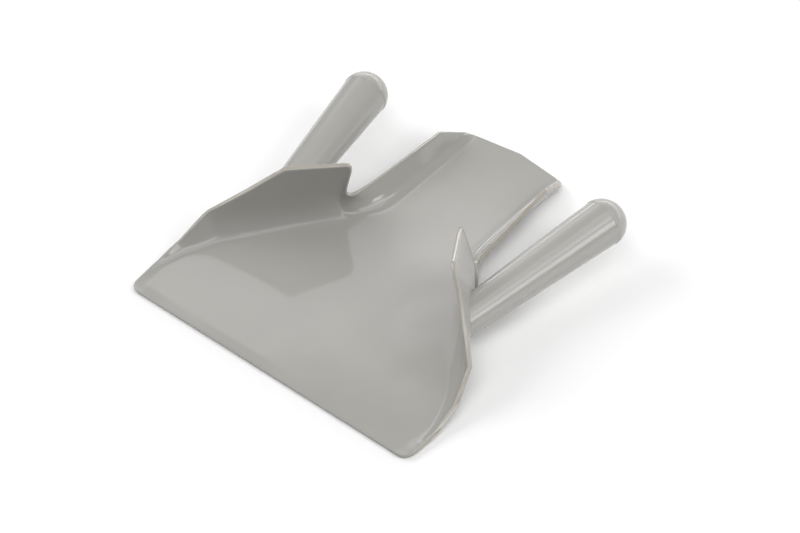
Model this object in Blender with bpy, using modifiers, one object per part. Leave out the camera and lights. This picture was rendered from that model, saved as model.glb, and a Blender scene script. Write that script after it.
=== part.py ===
"""Two-handled chip scoop: a wide flat pan with upturned shoulder wings that funnels back into an open
chute, and a hollow tapered handle with a domed end cap standing off the outside of each wing.

Metres. +Z is up, the scoop rests on z = 0, its lip faces -Y and the chute opens towards +Y.
The half at +X is described here; the other half is its mirror image.
"""

import math

import bmesh
import bpy
import numpy as np
from mathutils import Matrix, Vector

NAME = "chip_scoop"

WALL = 0.0027  # thickness of the moulded shell
LIP_WALL = 0.0014  # thickness of the front lip, which is thinned from below
LIP_BAND = 0.0085  # depth of the band over which the lip thins
LIP_SLOPE = 0.0065  # depth of the very shallow slope that leads down to the lip
LIP_DROP = 0.00015  # how much lower the slope is at the lip
RIM_RADIUS = 0.0006  # rounding of every free edge
CENTRE_Y = 0.11607  # distance from the lip to the middle of the finished object

CHUTE_END_Y = 0.2295  # where the chute's floor corners are
CHUTE_END_SLOPE = 0.13  # how far the end's shallow point stands out per metre of half width
CHUTE_END_HALF = 0.0370

# Free edge of the right half, from the lip corner to the end of the chute: y, x, z of the inner surface.
# The pairs of straight runs meet at the corners of the wing.
EDGE = (
    (-0.0018, 0.0985, 0.0029),
    (-0.0013, 0.1006, 0.0029),
    (0.0000, 0.1024, 0.0029),
    (0.0026, 0.1036, 0.0030),
    (0.0072, 0.1041, 0.0032),
    (0.0225, 0.1040, 0.0049),
    (0.0404, 0.1027, 0.0092),
    (0.0592, 0.0972, 0.0210),  # front foot of the wing
    (0.0672, 0.0884, 0.0284),
    (0.0750, 0.0790, 0.0368),
    (0.0820, 0.0700, 0.0457),
    (0.0880, 0.0614, 0.0543),  # peak of the wing
    (0.1188, 0.0420, 0.0473),
    (0.1207, 0.0409, 0.0464),  # rounded back corner of the wing
    (0.1216, 0.0408, 0.0440),
    (0.1220, 0.0418, 0.0400),
    (0.1223, 0.0440, 0.0330),
    (0.1227, 0.0459, 0.0255),
    (0.1235, 0.0468, 0.0203),
    (0.1250, 0.0468, 0.0173),
    (0.1273, 0.0458, 0.0157),
    (0.1300, 0.0450, 0.0150),
    (0.1330, 0.0445, 0.0148),  # bottom of the notch
    (0.1370, 0.0441, 0.0150),
    (0.2052, 0.0396, 0.0168),
    (0.2076, 0.0392, 0.0160),
    (0.2262, 0.0359, 0.0052),
    (0.2284, 0.0353, 0.0037),
    (0.2295, 0.0338, 0.0028),
)

# Line where the flat floor would meet the wall if the bend between them were sharp, how far the rounded
# bend reaches from it over the floor and up the wall, and how far the wall above it bows outwards:
# y, x, reach, rise, bow.
BEND = (
    (0.000, 0.0960, 0.0022, 0.0020, 0.0000),
    (0.020, 0.1012, 0.0022, 0.0020, 0.0000),
    (0.030, 0.1000, 0.0026, 0.0030, 0.0000),
    (0.040, 0.0975, 0.0036, 0.0056, 0.0000),
    (0.050, 0.0948, 0.0058, 0.0095, 0.0002),
    (0.060, 0.0915, 0.0100, 0.0130, 0.0006),
    (0.070, 0.0875, 0.0135, 0.0180, 0.0014),
    (0.080, 0.0820, 0.0140, 0.0240, 0.0022),
    (0.090, 0.0760, 0.0140, 0.0280, 0.0030),
    (0.100, 0.0685, 0.0125, 0.0260, 0.0030),
    (0.110, 0.0608, 0.0115, 0.0240, 0.0030),
    (0.120, 0.0530, 0.0105, 0.0180, 0.0028),
    (0.131, 0.0452, 0.0080, 0.0080, 0.0004),
    (0.137, 0.0405, 0.0070, 0.0070, 0.0000),
    (0.141, 0.0380, 0.0065, 0.0065, 0.0000),
    (0.147, 0.0358, 0.0060, 0.0060, 0.0000),
    (0.157, 0.0346, 0.0055, 0.0055, 0.0000),
    (0.170, 0.0342, 0.0050, 0.0050, 0.0000),
    (0.218, 0.0342, 0.0045, 0.0045, 0.0000),
    (0.2262, 0.0335, 0.0040, 0.0040, 0.0000),
    (0.2295, 0.0312, 0.0030, 0.0030, 0.0000),
)

FLOOR_STEPS = 4
BEND_STEPS = 8
WALL_STEPS = 4
ROW_STEP = 0.0065  # longest distance between neighbouring cross-sections
MOST_BEND = 0.96  # the bend never takes more than this share of the wall

HANDLE_END = Vector((0.0905, 0.1934, 0.0284))  # centre of the seam between tube and cap
HANDLE_AXIS = Vector((0.178, 1.0, 0.095)).normalized()
HANDLE_RUN = 0.0985  # distance from the seam back to where the axis meets the wing
HANDLE_ROOT = HANDLE_END - HANDLE_AXIS * HANDLE_RUN
TUBE_R_ROOT = 0.0107
TUBE_R_END = 0.0144
TUBE_WALL = 0.0026
TUBE_RINGS = (0.030, 0.065)  # distances past the root where the taper has a ring of its own
BORE_R_ROOT = 0.0080
FIT_GAP = 0.0003
SPIGOT_LENGTH = 0.018
SPIGOT_ROOM = 0.006  # how much deeper than the spigot the narrow bore is
EDGE_BREAK = 0.0006  # small chamfer where the tube meets its cap
PAD_R = 0.0109
PAD_NORMAL = Vector((0.845, 0.495, 0.170)).normalized()
PAD_OUT = 0.0008  # how far the pad's face is along the handle axis from the wing
STOCK_BACK = 0.035  # how far the pad, spigot and tube start before the root, before they are cut
STOCK_AHEAD = 0.030
CAP_R = 0.0147
CAP_WALL = 0.0024
CAP_PLUG = 0.0080
CAP_SINK = 0.0008  # how far the dome's centre is behind the seam
PLUG_WALL = 0.0018
ROUND_STEPS = 36

BLOCK_FRONT_Y = 0.03  # the block inside the wing that trims the handle's root runs between these
BLOCK_BACK_Y = 0.1225
BLOCK_HEIGHT = 0.04
CUTTER_SIZE = 0.24
WELD = 2e-6
SAME_PLANE_DEGREES = 0.05
SHARP_DEGREES = 32.0


def reset():
    for item in list(bpy.data.objects):
        bpy.data.objects.remove(item)
    for group in list(bpy.data.collections):
        bpy.data.collections.remove(group)


def collection(name, hidden=False):
    group = bpy.data.collections.new(name)
    group.hide_render = hidden
    bpy.context.scene.collection.children.link(group)
    return group


def material(name, colour, roughness):
    result = bpy.data.materials.new(name)
    result.use_nodes = True
    shader = result.node_tree.nodes["Principled BSDF"]
    shader.inputs["Base Color"].default_value = (*colour, 1.0)
    shader.inputs["Roughness"].default_value = roughness
    return result


def mesh_object(name, vertices, faces, group):
    mesh = bpy.data.meshes.new(name)
    mesh.from_pydata([tuple(v) for v in vertices], [], faces)
    mesh.validate()
    item = bpy.data.objects.new(name, mesh)
    group.objects.link(item)
    return item


def smooth_table(table, y):
    """A curve through the table's rows that doesn't overshoot between them."""
    rows = np.array(table)
    ys = rows[:, 0]
    y = float(np.clip(y, ys[0], ys[-1]))
    index = int(np.clip(np.searchsorted(ys, y, side="right") - 1, 0, len(ys) - 2))
    steps = np.diff(ys)
    secants = np.diff(rows[:, 1:], axis=0) / steps[:, None]
    slopes = np.zeros_like(rows[:, 1:])
    slopes[0] = secants[0]
    slopes[-1] = secants[-1]
    for row in range(1, len(ys) - 1):
        for column in range(slopes.shape[1]):
            before = secants[row - 1, column]
            after = secants[row, column]
            if before * after > 0:
                slopes[row, column] = 2 * before * after / (before + after)
    h = steps[index]
    s = (y - ys[index]) / h
    start = rows[index, 1:]
    end = rows[index + 1, 1:]
    return (
        (2 * s**3 - 3 * s**2 + 1) * start
        + (s**3 - 2 * s**2 + s) * h * slopes[index]
        + (3 * s**2 - 2 * s**3) * end
        + (s**3 - s**2) * h * slopes[index + 1]
    )


def edge_at(y):
    rows = np.array(EDGE)
    return np.interp(y, rows[:, 0], rows[:, 1]), np.interp(y, rows[:, 0], rows[:, 2])


def floor_height(y):
    """Height of the floor's top, which drops very slightly towards the lip."""
    return WALL - LIP_DROP * max(0.0, 1.0 - (y - EDGE[0][0]) / LIP_SLOPE)


def thickness_at(y):
    """The shell thins towards the lip, where its underside rises."""
    share = min(1.0, (y - EDGE[0][0]) / LIP_BAND)
    return LIP_WALL + (WALL - LIP_WALL) * share


def row_positions():
    """Every y of the edge table, with more between them where they are far apart."""
    ys = [row[0] for row in EDGE]
    ys.append(EDGE[0][0] + LIP_BAND)
    ys.append(EDGE[0][0] + LIP_SLOPE)
    ys = sorted(ys)
    result = [ys[0]]
    for y in ys[1:]:
        count = max(1, math.ceil((y - result[-1]) / ROW_STEP))
        result.extend(np.linspace(result[-1], y, count + 1)[1:])
    return result


def section(y):
    """Points of the inner surface at one y, from the middle of the floor out to the free edge."""
    edge_x, edge_z = edge_at(y)
    bend_x, reach, rise, bow = smooth_table(BEND, y)
    floor_z = floor_height(y)
    foot = np.array([bend_x, floor_z])
    edge = np.array([edge_x, edge_z])
    wall = edge - foot
    length = np.linalg.norm(wall)
    outwards = np.array([wall[1], -wall[0]]) / length
    middle = (foot + edge) / 2 + outwards * 2 * bow

    def on_wall(share):
        return (1 - share) ** 2 * foot + 2 * share * (1 - share) * middle + share**2 * edge

    joined = min(rise / length, MOST_BEND)
    end = on_wall(joined)
    up = (1 - joined) * (middle - foot) + joined * (edge - middle)
    up /= np.linalg.norm(up)
    corner = end - up * (end[1] - floor_z) / up[1]
    start = corner - np.array([reach, 0.0])
    weight = math.cos(0.5 * math.acos(up[0]))
    points = [np.array([start[0] * share, floor_z]) for share in np.linspace(0, 1, FLOOR_STEPS + 1)]
    for share in np.linspace(0, 1, BEND_STEPS + 1)[1:]:
        a = (1 - share) ** 2
        b = 2 * share * (1 - share) * weight
        c = share**2
        points.append((a * start + b * corner + c * end) / (a + b + c))
    for share in np.linspace(joined, 1, WALL_STEPS + 1)[1:]:
        points.append(on_wall(share))
    return np.array(points)


def inner_grid():
    """Rows of cross-sections of the right half, as an array of row, column, xyz."""
    point_start = EDGE[-4][0]
    rows = []
    for y in row_positions():
        half = section(y)
        share = np.clip((y - point_start) / (CHUTE_END_Y - point_start), 0.0, 1.0)
        lead = np.maximum(0.0, CHUTE_END_HALF - half[:, 0]) * CHUTE_END_SLOPE * share
        rows.append(np.column_stack([half[:, 0], y + lead, half[:, 1]]))
    return np.array(rows)


def grid_normals(grid):
    """Unit normals of the grid, pointing out of the underside."""
    along = np.gradient(grid, axis=0)
    across = np.gradient(grid, axis=1)
    return unit(np.cross(along, across))


def unit(vectors):
    return vectors / np.linalg.norm(vectors, axis=-1, keepdims=True)


def border(rows, columns):
    """Grid positions of the free edge, from the middle of the lip round to the middle of the chute's end."""
    strip = [(0, c) for c in range(columns)]
    strip += [(r, columns - 1) for r in range(1, rows)]
    strip += [(rows - 1, c) for c in range(columns - 2, -1, -1)]
    return strip


def rim(edge, edge_outer):
    """Lines of points that round the free edge between the inner and the outer surface."""
    opposite = np.array([-1.0, 1.0, 1.0])
    padded = np.vstack([edge[1] * opposite, edge, edge[-2] * opposite])
    tangent = unit(padded[2:] - padded[:-2])
    down = unit(edge_outer - edge)
    out = unit(np.cross(down, tangent))
    half_turn = math.sqrt(0.5)
    steps = ((1 - half_turn, half_turn), (1.0, 1.0))
    lines = [edge + RIM_RADIUS * (down * a + out * b) for a, b in steps]
    lines += [edge_outer + RIM_RADIUS * (out * b - down * a) for a, b in reversed(steps)]
    return lines


def shell(group):
    """The moulded shell: inner surface, outer surface and a rounded free edge, mirrored to the left."""
    inner = inner_grid()
    rows, columns = inner.shape[:2]
    thickness = np.array([thickness_at(row[0][1]) for row in inner])
    outer = inner + grid_normals(inner) * thickness[:, None, None]
    outer[:, :, 2] = np.maximum(outer[:, :, 2], 0.0)
    vertices = list(inner.reshape(-1, 3)) + list(outer.reshape(-1, 3))
    count = rows * columns

    faces = []
    for r in range(rows - 1):
        for c in range(columns - 1):
            start = r * columns + c
            quad = [start, start + 1, start + columns + 1, start + columns]
            faces.append(quad)
            faces.append([v + count for v in reversed(quad)])

    strip = border(rows, columns)
    edge = np.array([inner[r, c] for r, c in strip])
    edge_outer = np.array([outer[r, c] for r, c in strip])
    lines = [[r * columns + c for r, c in strip]]
    for points in rim(edge, edge_outer):
        lines.append(list(range(len(vertices), len(vertices) + len(points))))
        vertices += list(points)
    lines.append([v + count for v in lines[0]])
    for upper, lower in zip(lines, lines[1:]):
        for i in range(len(strip) - 1):
            faces.append([upper[i], lower[i], lower[i + 1], upper[i + 1]])

    item = mesh_object("scoop_body", vertices, faces, group)
    modifier = item.modifiers.new("left half", "MIRROR")
    modifier.use_mirror_merge = True
    modifier.merge_threshold = WELD
    apply_modifiers(item)
    return item


def inside_block(group):
    """The space inside the right wing, reaching halfway into its wall, to trim the handle's root."""
    inner = inner_grid()
    middle = inner + grid_normals(inner) * WALL * 0.5
    rings = []
    for row in middle:
        if BLOCK_FRONT_Y < row[0][1] < BLOCK_BACK_Y:
            points = list(row[1:])
            top = points[-1] + np.array([0.0, 0.0, BLOCK_HEIGHT])
            points.append(top)
            points.append(np.array([points[0][0], points[0][1], top[2]]))
            rings.append(points)
    return loft("inside_block", rings, group)


def loft(name, rings, group):
    size = len(rings[0])
    vertices = [point for ring in rings for point in ring]
    faces = [list(range(size - 1, -1, -1))]
    faces.append([(len(rings) - 1) * size + i for i in range(size)])
    for r in range(len(rings) - 1):
        for i in range(size):
            j = (i + 1) % size
            faces.append([r * size + i, r * size + j, (r + 1) * size + j, (r + 1) * size + i])
    item = mesh_object(name, vertices, faces, group)
    recalculate(item)
    return item


def recalculate(item):
    mesh = bmesh.new()
    mesh.from_mesh(item.data)
    bmesh.ops.recalc_face_normals(mesh, faces=mesh.faces)
    mesh.to_mesh(item.data)
    mesh.free()


def axis_matrix(origin, axis):
    """Places local +Z along the axis, with local +X level."""
    z = axis.normalized()
    x = Vector((z.y, -z.x, 0.0)).normalized()
    y = z.cross(x)
    return Matrix.Translation(origin) @ Matrix((x, y, z)).transposed().to_4x4()


def turned(name, profile, origin, axis, group):
    """A closed profile of (radius, height) pairs, turned round the axis."""
    size = len(profile)
    edges = [(i, (i + 1) % size) for i in range(size)]
    edges = [(i, j) for i, j in edges if profile[i][0] + profile[j][0] > 0]
    mesh = bpy.data.meshes.new(name)
    mesh.from_pydata([(r, 0.0, h) for r, h in profile], edges, [])
    item = bpy.data.objects.new(name, mesh)
    group.objects.link(item)
    modifier = item.modifiers.new("turn", "SCREW")
    modifier.steps = ROUND_STEPS
    modifier.render_steps = ROUND_STEPS
    modifier.use_merge_vertices = True
    modifier.merge_threshold = WELD
    apply_modifiers(item)
    recalculate(item)
    item.data.transform(axis_matrix(origin, axis))
    return item


def arc(radius, centre, start, end, steps):
    points = []
    for share in np.linspace(0, 1, steps + 1):
        angle = math.radians(start + (end - start) * share)
        across = radius * math.cos(angle) if angle < math.pi / 2 else 0.0
        points.append((across, centre + radius * math.sin(angle)))
    return points


def combine(target, tool, operation):
    modifier = target.modifiers.new(operation.lower(), "BOOLEAN")
    modifier.operation = operation
    modifier.solver = "EXACT"
    modifier.object = tool


def half_space(name, point, normal, group):
    """A block whose face through the point, facing the normal, cuts what lies behind it."""
    mesh = bmesh.new()
    bmesh.ops.create_cube(mesh, size=CUTTER_SIZE)
    data = bpy.data.meshes.new(name)
    mesh.to_mesh(data)
    mesh.free()
    data.transform(axis_matrix(point, normal) @ Matrix.Translation((0.0, 0.0, -CUTTER_SIZE / 2)))
    item = bpy.data.objects.new(name, data)
    group.objects.link(item)
    return item


def handle_radius(height):
    """Outer radius of the tube at a distance past the root."""
    return TUBE_R_ROOT + (TUBE_R_END - TUBE_R_ROOT) * height / HANDLE_RUN


def pad_and_spigot(cutters):
    """The raised pad on the wing that the handle stands on, and the spigot inside its bore."""
    outline = [(0.0, -STOCK_BACK), (PAD_R, -STOCK_BACK), (PAD_R, STOCK_AHEAD), (0.0, STOCK_AHEAD)]
    pad = turned("pad", outline, HANDLE_ROOT, HANDLE_AXIS, cutters)
    face = HANDLE_ROOT + HANDLE_AXIS * PAD_OUT
    combine(pad, half_space("beyond_pad", face, -PAD_NORMAL, cutters), "DIFFERENCE")

    radius = BORE_R_ROOT - FIT_GAP
    outline = [
        (0.0, -STOCK_BACK),
        (radius, -STOCK_BACK),
        (radius, SPIGOT_LENGTH - EDGE_BREAK),
        (radius - EDGE_BREAK, SPIGOT_LENGTH),
        (0.0, SPIGOT_LENGTH),
    ]
    spigot = turned("spigot", outline, HANDLE_ROOT, HANDLE_AXIS, cutters)
    return pad, spigot


def tube(name, group, cutters):
    """The tapered handle: an open tube, cut aslant where it stands on the wing's pad."""
    seam = HANDLE_RUN - FIT_GAP
    end_bore = TUBE_R_END - TUBE_WALL
    profile = [(BORE_R_ROOT, -STOCK_BACK), (handle_radius(-STOCK_BACK), -STOCK_BACK)]
    profile += [(handle_radius(height), height) for height in TUBE_RINGS]
    profile += [
        (handle_radius(seam - EDGE_BREAK), seam - EDGE_BREAK),
        (handle_radius(seam) - EDGE_BREAK, seam),
        (end_bore, seam),
        (end_bore, HANDLE_RUN - CAP_PLUG - 2 * PLUG_WALL),
        (BORE_R_ROOT, SPIGOT_LENGTH + SPIGOT_ROOM),
    ]
    item = turned(name, profile, HANDLE_ROOT, HANDLE_AXIS, group)
    face = HANDLE_ROOT + HANDLE_AXIS * PAD_OUT + PAD_NORMAL * FIT_GAP
    combine(item, half_space("behind_pad", face, PAD_NORMAL, cutters), "DIFFERENCE")
    return item


def cap(name, group):
    """The domed end: a hollow dome with a ring that plugs into the tube's bore."""
    plug_r = TUBE_R_END - TUBE_WALL - FIT_GAP
    profile = [
        (plug_r - PLUG_WALL, -CAP_PLUG),
        (plug_r, -CAP_PLUG),
        (plug_r, 0.0),
        (CAP_R - EDGE_BREAK, 0.0),
    ]
    profile += arc(CAP_R, -CAP_SINK, 6.0, 90.0, 10)
    profile += arc(CAP_R - CAP_WALL, -CAP_SINK, 90.0, 12.0, 5)
    profile += [(plug_r - PLUG_WALL, 0.0)]
    return turned(name, profile, HANDLE_END, HANDLE_AXIS, group)


def apply_modifiers(item):
    depsgraph = bpy.context.evaluated_depsgraph_get()
    evaluated = item.evaluated_get(depsgraph)
    mesh = bpy.data.meshes.new_from_object(evaluated)
    old = item.data
    item.modifiers.clear()
    item.data = mesh
    mesh.name = item.name
    bpy.data.meshes.remove(old)


def mirrored(item, name, group):
    mesh = item.data.copy()
    mesh.transform(Matrix.Diagonal((-1.0, 1.0, 1.0, 1.0)))
    mesh.flip_normals()
    copy = bpy.data.objects.new(name, mesh)
    group.objects.link(copy)
    return copy


def tidy(item):
    """Welds what coincides and joins flat neighbours into single faces."""
    mesh = bmesh.new()
    mesh.from_mesh(item.data)
    bmesh.ops.remove_doubles(mesh, verts=mesh.verts, dist=WELD)
    limit = math.radians(SAME_PLANE_DEGREES)
    bmesh.ops.dissolve_limit(mesh, angle_limit=limit, verts=mesh.verts, edges=mesh.edges)
    bmesh.ops.recalc_face_normals(mesh, faces=mesh.faces)
    mesh.to_mesh(item.data)
    mesh.free()


def finish(item, look):
    item.data.materials.clear()
    item.data.materials.append(look)
    item.data.transform(Matrix.Translation((0.0, -CENTRE_Y, 0.0)))
    item.data.shade_smooth()
    item.data.set_sharp_from_angle(angle=math.radians(SHARP_DEGREES))


def build():
    reset()
    parts = collection(NAME)
    cutters = collection("cutters", hidden=True)

    body = shell(parts)
    pad, spigot = pad_and_spigot(cutters)
    inside = inside_block(cutters)
    for item in (pad, spigot):
        combine(item, inside, "DIFFERENCE")
        apply_modifiers(item)
    sides = [pad, spigot, mirrored(pad, "pad_left", cutters), mirrored(spigot, "spigot_left", cutters)]
    for item in sides:
        combine(body, item, "UNION")
        apply_modifiers(body)
    tidy(body)

    right_tube = tube("right_handle", parts, cutters)
    apply_modifiers(right_tube)
    left_tube = mirrored(right_tube, "left_handle", parts)
    right_cap = cap("right_end_cap", parts)
    left_cap = mirrored(right_cap, "left_end_cap", parts)

    shell_look = material("scoop_plastic", (0.43, 0.42, 0.395), 0.22)
    handle_look = material("handle_plastic", (0.42, 0.41, 0.385), 0.25)
    cap_look = material("cap_plastic", (0.41, 0.40, 0.375), 0.27)
    finish(body, shell_look)
    for item in (right_tube, left_tube):
        finish(item, handle_look)
    for item in (right_cap, left_cap):
        finish(item, cap_look)
    for item in cutters.objects:
        item.display_type = "WIRE"
        item.hide_render = True


build()
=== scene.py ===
"""Looks of the two-handled chip scoop: glossy moulded plastic on a white studio floor."""

import math

import bmesh
import bpy
import numpy as np
from mathutils import Matrix, Vector


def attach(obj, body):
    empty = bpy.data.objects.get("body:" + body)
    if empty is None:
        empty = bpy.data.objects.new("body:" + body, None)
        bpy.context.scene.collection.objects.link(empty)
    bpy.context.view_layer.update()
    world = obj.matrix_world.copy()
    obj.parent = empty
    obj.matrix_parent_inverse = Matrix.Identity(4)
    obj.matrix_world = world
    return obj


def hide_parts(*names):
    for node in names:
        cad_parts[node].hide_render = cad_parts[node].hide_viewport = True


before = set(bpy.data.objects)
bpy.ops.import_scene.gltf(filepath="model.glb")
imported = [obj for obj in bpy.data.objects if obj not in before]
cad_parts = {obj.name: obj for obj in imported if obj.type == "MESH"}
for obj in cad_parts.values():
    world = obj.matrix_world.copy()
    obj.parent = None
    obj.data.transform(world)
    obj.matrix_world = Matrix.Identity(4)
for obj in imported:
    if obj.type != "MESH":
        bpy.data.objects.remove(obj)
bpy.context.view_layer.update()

# ---------------------------------------------------------------- shape of the scoop, as in the CAD source
WALL = 0.0027
CENTRE_Y = 0.11607

# The wall thins and the floor slopes down towards the lip. A short row of faces behind the slope keeps
# its upper edge crisp.
LIP_WALL = 0.0014
LIP_BAND = 0.0085
LIP_SLOPE = 0.0065
LIP_DROP = 0.00015
SLOPE_CREASE = 0.0004

# The chute's end runs out to a shallow point in the middle.
CHUTE_POINT_START_Y = 0.2076
CHUTE_END_Y = 0.2295
CHUTE_END_SLOPE = 0.13
CHUTE_END_HALF = 0.0370

# Free edge of the right half: y, x, z of the inner surface, from the lip in the first row to the chute's
# end. Here y is measured from a line 1.8 mm behind the first row.
EDGE = (
    (-0.0018, 0.0985, 0.0029),
    (-0.0013, 0.1006, 0.0029),
    (0.0000, 0.1024, 0.0029),
    (0.0026, 0.1036, 0.0030),
    (0.0072, 0.1041, 0.0032),
    (0.0225, 0.1040, 0.0049),
    (0.0404, 0.1027, 0.0092),
    (0.0592, 0.0972, 0.0210),
    (0.0672, 0.0884, 0.0284),
    (0.0750, 0.0790, 0.0368),
    (0.0820, 0.0700, 0.0457),
    (0.0880, 0.0614, 0.0543),
    (0.1188, 0.0420, 0.0473),
    (0.1207, 0.0409, 0.0464),
    (0.1216, 0.0408, 0.0440),
    (0.1220, 0.0418, 0.0400),
    (0.1223, 0.0440, 0.0330),
    (0.1227, 0.0459, 0.0255),
    (0.1235, 0.0468, 0.0203),
    (0.1250, 0.0468, 0.0173),
    (0.1273, 0.0458, 0.0157),
    (0.1300, 0.0450, 0.0150),
    (0.1330, 0.0445, 0.0148),
    (0.1370, 0.0441, 0.0150),
    (0.2052, 0.0396, 0.0168),
    (0.2076, 0.0392, 0.0160),
    (0.2262, 0.0359, 0.0052),
    (0.2284, 0.0353, 0.0037),
    (0.2295, 0.0338, 0.0028),
)
LIP_Y = EDGE[0][0]

# Foot line of the wall: y, x, reach of the bend over the floor, its rise up the wall, bow of the wall.
BEND = (
    (0.000, 0.0960, 0.0022, 0.0020, 0.0000),
    (0.020, 0.1012, 0.0022, 0.0020, 0.0000),
    (0.030, 0.1000, 0.0026, 0.0030, 0.0000),
    (0.040, 0.0975, 0.0036, 0.0056, 0.0000),
    (0.050, 0.0948, 0.0058, 0.0095, 0.0002),
    (0.060, 0.0915, 0.0100, 0.0130, 0.0006),
    (0.070, 0.0875, 0.0135, 0.0180, 0.0014),
    (0.080, 0.0820, 0.0140, 0.0240, 0.0022),
    (0.090, 0.0760, 0.0140, 0.0280, 0.0030),
    (0.100, 0.0685, 0.0125, 0.0260, 0.0030),
    (0.110, 0.0608, 0.0115, 0.0240, 0.0030),
    (0.120, 0.0530, 0.0105, 0.0180, 0.0028),
    (0.131, 0.0452, 0.0080, 0.0080, 0.0004),
    (0.137, 0.0405, 0.0070, 0.0070, 0.0000),
    (0.141, 0.0380, 0.0065, 0.0065, 0.0000),
    (0.147, 0.0358, 0.0060, 0.0060, 0.0000),
    (0.157, 0.0346, 0.0055, 0.0055, 0.0000),
    (0.170, 0.0342, 0.0050, 0.0050, 0.0000),
    (0.218, 0.0342, 0.0045, 0.0045, 0.0000),
    (0.2262, 0.0335, 0.0040, 0.0040, 0.0000),
    (0.2295, 0.0312, 0.0030, 0.0030, 0.0000),
)
MOST_BEND = 0.96

# Fineness of the scoop's surface: points along one section, distance between sections.
FLOOR_STEPS = 10
BEND_STEPS = 14
WALL_STEPS = 10
ROW_STEP = 0.0030

# The free edge is rounded above and below, with a bare band between the two quarter turns.
RIM_RADIUS = 0.0006
RIM_TURNS = (22.5, 45.0, 67.5, 90.0)

# ---------------------------------------------------------------- shape of the handles and caps
HANDLE_END = Vector((0.0905, 0.1934, 0.0284))
HANDLE_AXIS = Vector((0.178, 1.0, 0.095)).normalized()
HANDLE_RUN = 0.0985
HANDLE_ROOT = HANDLE_END - HANDLE_AXIS * HANDLE_RUN
TUBE_R_ROOT = 0.0107
TUBE_R_END = 0.0144
TUBE_RINGS = 24
TUBE_SHARP_DEGREES = 35

# The blank of the tube runs on past the root, and the space inside the wing cuts it off.
BLANK_START = -0.03
BLOCK_START_Y = 0.03
BLOCK_END_Y = 0.1225
BLOCK_RISE = 0.04

# The dome is a little wider than the tube, and its lower edge turns in to just inside the tube.
CAP_R = 0.0147
CAP_SINK = 0.0008
CAP_EDGE_IN = 0.0001
CAP_EDGE_DROP = 0.0002
CAP_PLUG_GAP = 0.0002
CAP_PLUG_DEPTH = 0.0006
CAP_RINGS = 26
CAP_SHARP_DEGREES = 40

ROUND_STEPS = 96
MERGE_DISTANCE = 2e-6

# ---------------------------------------------------------------- finishes
SCOOP_COLOUR = (0.378, 0.371, 0.350)
HANDLE_COLOUR = (0.395, 0.387, 0.365)
RIM_COLOUR = (0.40, 0.37, 0.32)
SCOOP_GLOSS = (0.08, 0.14)
HANDLE_GLOSS = (0.13, 0.20)
CAP_GLOSS = (0.26, 0.34)
PLASTIC_IOR = 1.5
DRIFT_SCALE = 16.0
DRIFT_RANGE = (0.3, 0.7)
DRIFT_TINTS = (0.975, 1.025)
SCUFF_SCALE = 55.0
SCUFF_DETAIL = 6.0
SCUFF_STRETCH = (1.0, 0.35, 1.0)
SCUFF_RANGE = (0.35, 0.75)
WAVE_SCALE = 22.0
WAVE_DETAIL = 1.0
WAVE_HEIGHT = 0.00015

# ---------------------------------------------------------------- studio
AZIMUTH = 39.78
ELEVATION = 43.77
DISTANCE = 1.4054
TARGET = Vector((0.0, -0.0061, 0.015))
FOCAL_LENGTH = 108.4
SENSOR_WIDTH = 36.0
SHIFT_X = 0.01125
SHIFT_Y = -0.024375

FLOOR_SIZE = 16.0
FLOOR_Z = -0.0002
FLOOR_COLOUR = (0.92, 0.92, 0.92)
FLOOR_ROUGHNESS = 0.7
FLOOR_SPECULAR = 0.2

ROOM_STRENGTH = 0.115
LIGHT_DISTANCE = 1.7

# Soft boxes: name, azimuth, elevation, half width and half height in degrees, radiance.
LIGHTS = (
    ("front_top", 18.0, 62.0, 13.0, 16.0, 2.95),
    ("front_wide", 18.0, 66.0, 24.0, 20.0, 0.8),
    ("right_low", 105.0, 25.5, 9.0, 9.0, 5.3),
    ("right_mid", 110.0, 42.0, 10.0, 5.0, 1.8),
    ("right_high", 104.0, 50.0, 24.0, 6.0, 3.0),
    ("right_top", 112.0, 67.0, 18.0, 10.0, 1.4),
    ("left_side", 286.0, 35.0, 23.0, 13.0, 3.3),
    ("left_high", 292.0, 46.0, 12.0, 7.0, 1.6),
    ("left_key", 296.0, 56.0, 10.0, 9.0, 0.6),
    ("back_low", 191.0, 15.5, 50.0, 5.0, 5.4),
    ("back_left", 223.5, 45.6, 8.0, 2.8, 1.45),
    ("back_left_low", 231.0, 33.0, 9.0, 7.0, 2.1),
    ("back_middle", 207.0, 44.5, 9.0, 3.5, 1.2),
)


# ---------------------------------------------------------------- mesh helpers
def add_object(name, data):
    item = bpy.data.objects.new(name, data)
    bpy.context.scene.collection.objects.link(item)
    return item


def add_mesh(name, vertices, edges, faces):
    mesh = bpy.data.meshes.new(name)
    mesh.from_pydata([tuple(v) for v in vertices], edges, faces)
    mesh.validate()
    return add_object(name, mesh)


def apply_modifiers(item):
    evaluated = item.evaluated_get(bpy.context.evaluated_depsgraph_get())
    mesh = bpy.data.meshes.new_from_object(evaluated)
    old = item.data
    item.modifiers.clear()
    item.data = mesh
    mesh.name = item.name
    bpy.data.meshes.remove(old)


def face_outwards(item):
    mesh = bmesh.new()
    mesh.from_mesh(item.data)
    bmesh.ops.recalc_face_normals(mesh, faces=mesh.faces)
    mesh.to_mesh(item.data)
    mesh.free()


def unit(vectors):
    return vectors / np.linalg.norm(vectors, axis=-1, keepdims=True)


def to_centre():
    """Moves a shape from the tables' y to the object's own, whose origin is at the middle of its box."""
    return Matrix.Translation((0.0, -CENTRE_Y, 0.0))


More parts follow.
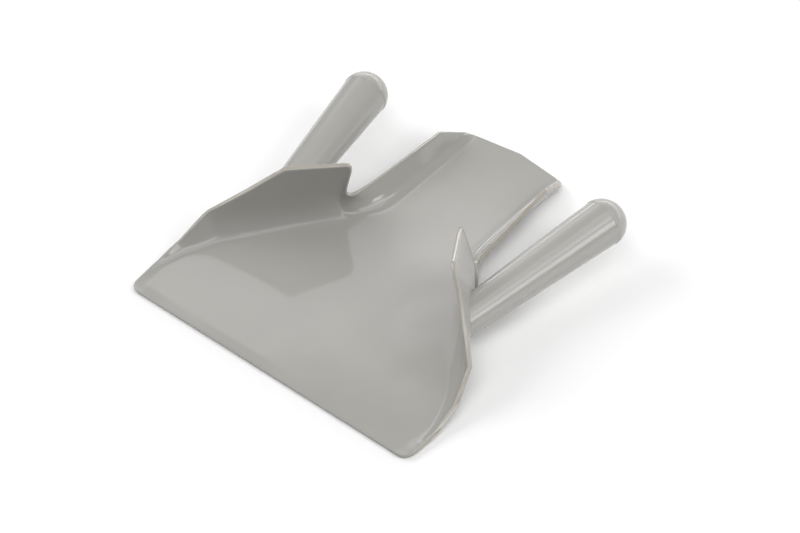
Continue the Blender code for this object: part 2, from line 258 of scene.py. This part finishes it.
# ---------------------------------------------------------------- scoop
def smooth_table(table, y):
    """A curve through the table's rows that doesn't overshoot between them."""
    rows = np.array(table)
    ys = rows[:, 0]
    y = float(np.clip(y, ys[0], ys[-1]))
    index = int(np.clip(np.searchsorted(ys, y, side="right") - 1, 0, len(ys) - 2))
    steps = np.diff(ys)
    secants = np.diff(rows[:, 1:], axis=0) / steps[:, None]
    before = secants[:-1]
    after = secants[1:]
    product = before * after
    total = np.where(product > 0, before + after, 1.0)
    inner = np.where(product > 0, 2 * product / total, 0.0)
    slopes = np.vstack([secants[:1], inner, secants[-1:]])
    h = steps[index]
    s = (y - ys[index]) / h
    return (
        (2 * s**3 - 3 * s**2 + 1) * rows[index, 1:]
        + (s**3 - 2 * s**2 + s) * h * slopes[index]
        + (3 * s**2 - 2 * s**3) * rows[index + 1, 1:]
        + (s**3 - s**2) * h * slopes[index + 1]
    )


def thickness_at(y):
    return LIP_WALL + (WALL - LIP_WALL) * min(1.0, (y - LIP_Y) / LIP_BAND)


def floor_height(y):
    """A very shallow slope leads down to the lip."""
    return WALL - LIP_DROP * max(0.0, 1.0 - (y - LIP_Y) / LIP_SLOPE)


def row_positions():
    """Where the sections lie: at each row of the edge and each change near the lip, and between them."""
    changes = [LIP_Y + LIP_BAND, LIP_Y + LIP_SLOPE, LIP_Y + LIP_SLOPE + SLOPE_CREASE]
    ys = sorted([row[0] for row in EDGE] + changes)
    result = [ys[0]]
    for y in ys[1:]:
        count = max(1, math.ceil((y - result[-1]) / ROW_STEP))
        result.extend(np.linspace(result[-1], y, count + 1)[1:])
    return result


def section(y):
    """Inner surface of the right half at one y: points from the middle of the floor to the free edge."""
    rows = np.array(EDGE)
    bend_x, reach, rise, bow = smooth_table(BEND, y)
    floor_z = floor_height(y)
    foot = np.array([bend_x, floor_z])
    edge = np.array([np.interp(y, rows[:, 0], rows[:, 1]), np.interp(y, rows[:, 0], rows[:, 2])])
    wall = edge - foot
    length = np.linalg.norm(wall)
    middle = (foot + edge) / 2 + np.array([wall[1], -wall[0]]) / length * 2 * bow

    def on_wall(share):
        return (1 - share) ** 2 * foot + 2 * share * (1 - share) * middle + share**2 * edge

    joined = min(rise / length, MOST_BEND)
    end = on_wall(joined)
    up = (1 - joined) * (middle - foot) + joined * (edge - middle)
    up /= np.linalg.norm(up)
    corner = end - up * (end[1] - floor_z) / up[1]
    start = corner - np.array([reach, 0.0])
    weight = math.cos(0.5 * math.acos(up[0]))
    points = [np.array([start[0] * share, floor_z]) for share in np.linspace(0, 1, FLOOR_STEPS + 1)]
    for share in np.linspace(0, 1, BEND_STEPS + 1)[1:]:
        a = (1 - share) ** 2
        b = 2 * share * (1 - share) * weight
        c = share**2
        points.append((a * start + b * corner + c * end) / (a + b + c))
    for share in np.linspace(joined, 1, WALL_STEPS + 1)[1:]:
        points.append(on_wall(share))
    return np.array(points)


def inner_grid():
    """Inner surface of the right half, one row of points per section."""
    rows = []
    for y in row_positions():
        half = section(y)
        share = np.clip((y - CHUTE_POINT_START_Y) / (CHUTE_END_Y - CHUTE_POINT_START_Y), 0.0, 1.0)
        lead = np.maximum(0.0, CHUTE_END_HALF - half[:, 0]) * CHUTE_END_SLOPE * share
        rows.append(np.column_stack([half[:, 0], y + lead, half[:, 1]]))
    return np.array(rows)


def grid_normals(grid):
    return unit(np.cross(np.gradient(grid, axis=0), np.gradient(grid, axis=1)))


def rim_lines(edge, edge_outer):
    """Lines of points round the free edge, each with how much of the bare rim it shows."""
    opposite = np.array([-1.0, 1.0, 1.0])
    padded = np.vstack([edge[1] * opposite, edge, edge[-2] * opposite])
    tangent = unit(padded[2:] - padded[:-2])
    down = unit(edge_outer - edge)
    out = unit(np.cross(down, tangent))
    above = []
    below = []
    for degrees in RIM_TURNS:
        angle = math.radians(degrees)
        bare = 1.0 if degrees == RIM_TURNS[-1] else 0.0
        across = out * math.sin(angle)
        along = down * (1 - math.cos(angle))
        above.append((edge + RIM_RADIUS * (along + across), bare))
        below.append((edge_outer + RIM_RADIUS * (across - along), bare))
    return above + below[::-1]


def make_scoop():
    """The whole shell: inner and outer surface, rounded free edge, and its mirror image."""
    inner = inner_grid()
    rows, columns = inner.shape[:2]
    thickness = np.array([thickness_at(row[0][1]) for row in inner])
    outer = inner + grid_normals(inner) * thickness[:, None, None]
    outer[:, :, 2] = np.maximum(outer[:, :, 2], 0.0)
    vertices = list(inner.reshape(-1, 3)) + list(outer.reshape(-1, 3))
    count = rows * columns
    rim = [0.0] * (2 * count)
    faces = []
    for r in range(rows - 1):
        for c in range(columns - 1):
            start = r * columns + c
            quad = [start, start + 1, start + columns + 1, start + columns]
            faces.append(quad)
            faces.append([v + count for v in reversed(quad)])
    strip = [(0, c) for c in range(columns)]
    strip += [(r, columns - 1) for r in range(1, rows)]
    strip += [(rows - 1, c) for c in range(columns - 2, -1, -1)]
    edge = np.array([inner[r, c] for r, c in strip])
    edge_outer = np.array([outer[r, c] for r, c in strip])
    lines = [[r * columns + c for r, c in strip]]
    for points, bare in rim_lines(edge, edge_outer):
        lines.append(list(range(len(vertices), len(vertices) + len(points))))
        vertices += list(points)
        rim += [bare] * len(points)
    lines.append([v + count for v in lines[0]])
    for upper, lower in zip(lines, lines[1:]):
        for i in range(len(strip) - 1):
            faces.append([upper[i], lower[i], lower[i + 1], upper[i + 1]])
    item = add_mesh("scoop", vertices, [], faces)
    attribute = item.data.attributes.new("rim", "FLOAT", "POINT")
    attribute.data.foreach_set("value", rim)
    modifier = item.modifiers.new("left half", "MIRROR")
    modifier.use_mirror_merge = True
    modifier.merge_threshold = MERGE_DISTANCE
    apply_modifiers(item)
    item.data.transform(to_centre())
    item.data.shade_smooth()
    return item


# ---------------------------------------------------------------- handles and caps
def axis_matrix(origin, axis):
    z = axis.normalized()
    x = Vector((z.y, -z.x, 0.0)).normalized()
    y = z.cross(x)
    return Matrix.Translation(origin) @ Matrix((x, y, z)).transposed().to_4x4()


def turned(name, profile, origin, axis):
    """A profile of radius and height, turned round an axis."""
    points = [(r, 0.0, h) for r, h in profile]
    item = add_mesh(name, points, [(i, i + 1) for i in range(len(profile) - 1)], [])
    modifier = item.modifiers.new("turn", "SCREW")
    modifier.steps = ROUND_STEPS
    modifier.render_steps = ROUND_STEPS
    modifier.use_merge_vertices = True
    modifier.merge_threshold = MERGE_DISTANCE
    apply_modifiers(item)
    face_outwards(item)
    item.data.transform(to_centre() @ axis_matrix(origin, axis))
    item.data.shade_smooth()
    return item


def handle_radius(height):
    return TUBE_R_ROOT + (TUBE_R_END - TUBE_R_ROOT) * height / HANDLE_RUN


def inside_block():
    """The space inside the right wing, reaching halfway into its wall."""
    inner = inner_grid()
    middle = inner + grid_normals(inner) * WALL * 0.5
    rings = []
    for row in middle:
        if BLOCK_START_Y < row[0][1] < BLOCK_END_Y:
            points = list(row[1:])
            points.append(points[-1] + np.array([0.0, 0.0, BLOCK_RISE]))
            points.append(np.array([points[0][0], points[0][1], points[-1][2]]))
            rings.append(points)
    size = len(rings[0])
    vertices = [point for ring in rings for point in ring]
    faces = [list(range(size - 1, -1, -1)), [(len(rings) - 1) * size + i for i in range(size)]]
    for r in range(len(rings) - 1):
        for i in range(size):
            j = (i + 1) % size
            faces.append([r * size + i, r * size + j, (r + 1) * size + j, (r + 1) * size + i])
    item = add_mesh("inside_block", vertices, [], faces)
    face_outwards(item)
    item.data.transform(to_centre())
    return item


def make_tube():
    """The tapered handle, whose root ends inside the wing's wall."""
    profile = [(0.0, HANDLE_RUN)]
    profile += [(handle_radius(h), h) for h in np.linspace(HANDLE_RUN, 0.0, TUBE_RINGS)]
    profile += [(handle_radius(BLANK_START), BLANK_START), (0.0, BLANK_START)]
    item = turned("right_tube", profile, HANDLE_ROOT, HANDLE_AXIS)
    block = inside_block()
    modifier = item.modifiers.new("root", "BOOLEAN")
    modifier.operation = "DIFFERENCE"
    modifier.solver = "EXACT"
    modifier.object = block
    apply_modifiers(item)
    bpy.data.objects.remove(block)
    item.data.shade_smooth()
    item.data.set_sharp_from_angle(angle=math.radians(TUBE_SHARP_DEGREES))
    return item


def make_dome():
    """The end cap's dome, closed below by a flat face just inside the tube."""
    start = math.degrees(math.asin(CAP_SINK / CAP_R))
    profile = [(0.0, CAP_R - CAP_SINK)]
    for degrees in np.linspace(90.0, start, CAP_RINGS)[1:]:
        angle = math.radians(degrees)
        profile.append((CAP_R * math.cos(angle), CAP_R * math.sin(angle) - CAP_SINK))
    profile.append((CAP_R - CAP_EDGE_IN, -CAP_EDGE_DROP))
    profile += [(TUBE_R_END - CAP_PLUG_GAP, -CAP_PLUG_DEPTH), (0.0, -CAP_PLUG_DEPTH)]
    item = turned("right_dome", profile, HANDLE_END, HANDLE_AXIS)
    item.data.set_sharp_from_angle(angle=math.radians(CAP_SHARP_DEGREES))
    return item


def mirrored(item, name):
    mesh = item.data.copy()
    mesh.transform(Matrix.Diagonal((-1.0, 1.0, 1.0, 1.0)))
    mesh.flip_normals()
    return add_object(name, mesh)


# ---------------------------------------------------------------- plastic
def node(tree, kind, **values):
    item = tree.nodes.new(kind)
    for key, value in values.items():
        setattr(item, key, value)
    return item


def noise(tree, where, scale, detail=2.0, stretch=(1.0, 1.0, 1.0)):
    mapping = node(tree, "ShaderNodeMapping")
    mapping.inputs["Scale"].default_value = stretch
    tree.links.new(where.outputs["Object"], mapping.inputs["Vector"])
    item = node(tree, "ShaderNodeTexNoise")
    item.inputs["Scale"].default_value = scale
    item.inputs["Detail"].default_value = detail
    tree.links.new(mapping.outputs["Vector"], item.inputs["Vector"])
    return item


def tinted(colour, tint):
    return (*[channel * tint for channel in colour], 1.0)


def plastic(name, colour, gloss, rim_colour=None):
    """Glossy moulded plastic: slightly uneven colour, soft waviness and fine scuffs."""
    look = bpy.data.materials.new(name)
    look.use_nodes = True
    tree = look.node_tree
    shader = tree.nodes["Principled BSDF"]
    shader.inputs["IOR"].default_value = PLASTIC_IOR
    where = node(tree, "ShaderNodeTexCoord")

    drift = noise(tree, where, DRIFT_SCALE)
    ramp = node(tree, "ShaderNodeValToRGB")
    for stop, position, tint in zip(ramp.color_ramp.elements, DRIFT_RANGE, DRIFT_TINTS):
        stop.position = position
        stop.color = tinted(colour, tint)
    tree.links.new(drift.outputs["Fac"], ramp.inputs["Fac"])
    surface = ramp.outputs["Color"]
    if rim_colour:
        rim = node(tree, "ShaderNodeAttribute", attribute_name="rim")
        mix = node(tree, "ShaderNodeMix", data_type="RGBA")
        mix.inputs["B"].default_value = (*rim_colour, 1.0)
        tree.links.new(rim.outputs["Fac"], mix.inputs["Factor"])
        tree.links.new(surface, mix.inputs["A"])
        surface = mix.outputs["Result"]
    tree.links.new(surface, shader.inputs["Base Color"])

    scuffs = noise(tree, where, SCUFF_SCALE, SCUFF_DETAIL, SCUFF_STRETCH)
    spread = node(tree, "ShaderNodeMapRange")
    spread.inputs["From Min"].default_value = SCUFF_RANGE[0]
    spread.inputs["From Max"].default_value = SCUFF_RANGE[1]
    spread.inputs["To Min"].default_value = gloss[0]
    spread.inputs["To Max"].default_value = gloss[1]
    tree.links.new(scuffs.outputs["Fac"], spread.inputs["Value"])
    tree.links.new(spread.outputs["Result"], shader.inputs["Roughness"])

    swell = noise(tree, where, WAVE_SCALE, WAVE_DETAIL)
    bump = node(tree, "ShaderNodeBump")
    bump.inputs["Strength"].default_value = 1.0
    bump.inputs["Distance"].default_value = WAVE_HEIGHT
    tree.links.new(swell.outputs["Fac"], bump.inputs["Height"])
    tree.links.new(bump.outputs["Normal"], shader.inputs["Normal"])
    return look


def place(item, replaced, look):
    """Gives a piece its finish and its body, and hides the CAD node that it stands for."""
    item.data.materials.clear()
    item.data.materials.append(look)
    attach(item, "root")
    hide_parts(replaced)


# ---------------------------------------------------------------- camera, lights and floor
def facing(azimuth, elevation, distance, target=Vector((0.0, 0.0, 0.0))):
    """Placing of a camera or light that looks at a target; azimuth 0 is at -Y."""
    a = math.radians(azimuth)
    e = math.radians(elevation)
    back = Vector((math.sin(a) * math.cos(e), -math.cos(a) * math.cos(e), math.sin(e)))
    right = Vector((math.cos(a), math.sin(a), 0.0))
    matrix = Matrix((right, back.cross(right), back)).transposed().to_4x4()
    matrix.translation = target + back * distance
    return matrix


def make_camera():
    data = bpy.data.cameras.new("camera")
    data.sensor_width = SENSOR_WIDTH
    data.lens = FOCAL_LENGTH
    data.shift_x = SHIFT_X
    data.shift_y = SHIFT_Y
    camera = add_object("camera", data)
    camera.matrix_world = facing(AZIMUTH, ELEVATION, DISTANCE, TARGET)
    bpy.context.scene.camera = camera


def softbox(name, azimuth, elevation, half_width, half_height, radiance):
    """A rectangular light facing the object, given by its direction and half angles in degrees."""
    data = bpy.data.lights.new(name, "AREA")
    data.shape = "RECTANGLE"
    data.size = 2 * LIGHT_DISTANCE * math.tan(math.radians(half_width))
    data.size_y = 2 * LIGHT_DISTANCE * math.tan(math.radians(half_height))
    data.energy = math.pi * data.size * data.size_y * radiance
    item = add_object(name, data)
    item.matrix_world = facing(azimuth, elevation, LIGHT_DISTANCE)
    item.visible_camera = False


def make_room_light():
    world = bpy.data.worlds.new("studio")
    world.use_nodes = True
    back = world.node_tree.nodes["Background"]
    back.inputs["Color"].default_value = (1.0, 1.0, 1.0, 1.0)
    back.inputs["Strength"].default_value = ROOM_STRENGTH
    bpy.context.scene.world = world


def make_floor():
    bpy.ops.mesh.primitive_plane_add(size=FLOOR_SIZE, location=(0.0, 0.0, FLOOR_Z))
    floor = bpy.context.object
    floor.name = "floor"
    look = bpy.data.materials.new("floor")
    look.use_nodes = True
    shader = look.node_tree.nodes["Principled BSDF"]
    shader.inputs["Base Color"].default_value = (*FLOOR_COLOUR, 1.0)
    shader.inputs["Roughness"].default_value = FLOOR_ROUGHNESS
    shader.inputs["Specular IOR Level"].default_value = FLOOR_SPECULAR
    floor.data.materials.append(look)


def make_studio():
    bpy.context.scene.view_settings.view_transform = "Standard"
    make_camera()
    make_room_light()
    for light in LIGHTS:
        softbox(*light)
    make_floor()


def make_pieces():
    scoop = make_scoop()
    tube = make_tube()
    dome = make_dome()
    scoop_look = plastic("scoop_plastic", SCOOP_COLOUR, SCOOP_GLOSS, RIM_COLOUR)
    handle_look = plastic("handle_plastic", HANDLE_COLOUR, HANDLE_GLOSS)
    cap_look = plastic("cap_plastic", HANDLE_COLOUR, CAP_GLOSS)
    place(scoop, "scoop_body", scoop_look)
    place(tube, "right_handle", handle_look)
    place(mirrored(tube, "left_tube"), "left_handle", handle_look)
    place(dome, "right_end_cap", cap_look)
    place(mirrored(dome, "left_dome"), "left_end_cap", cap_look)


make_studio()
make_pieces()
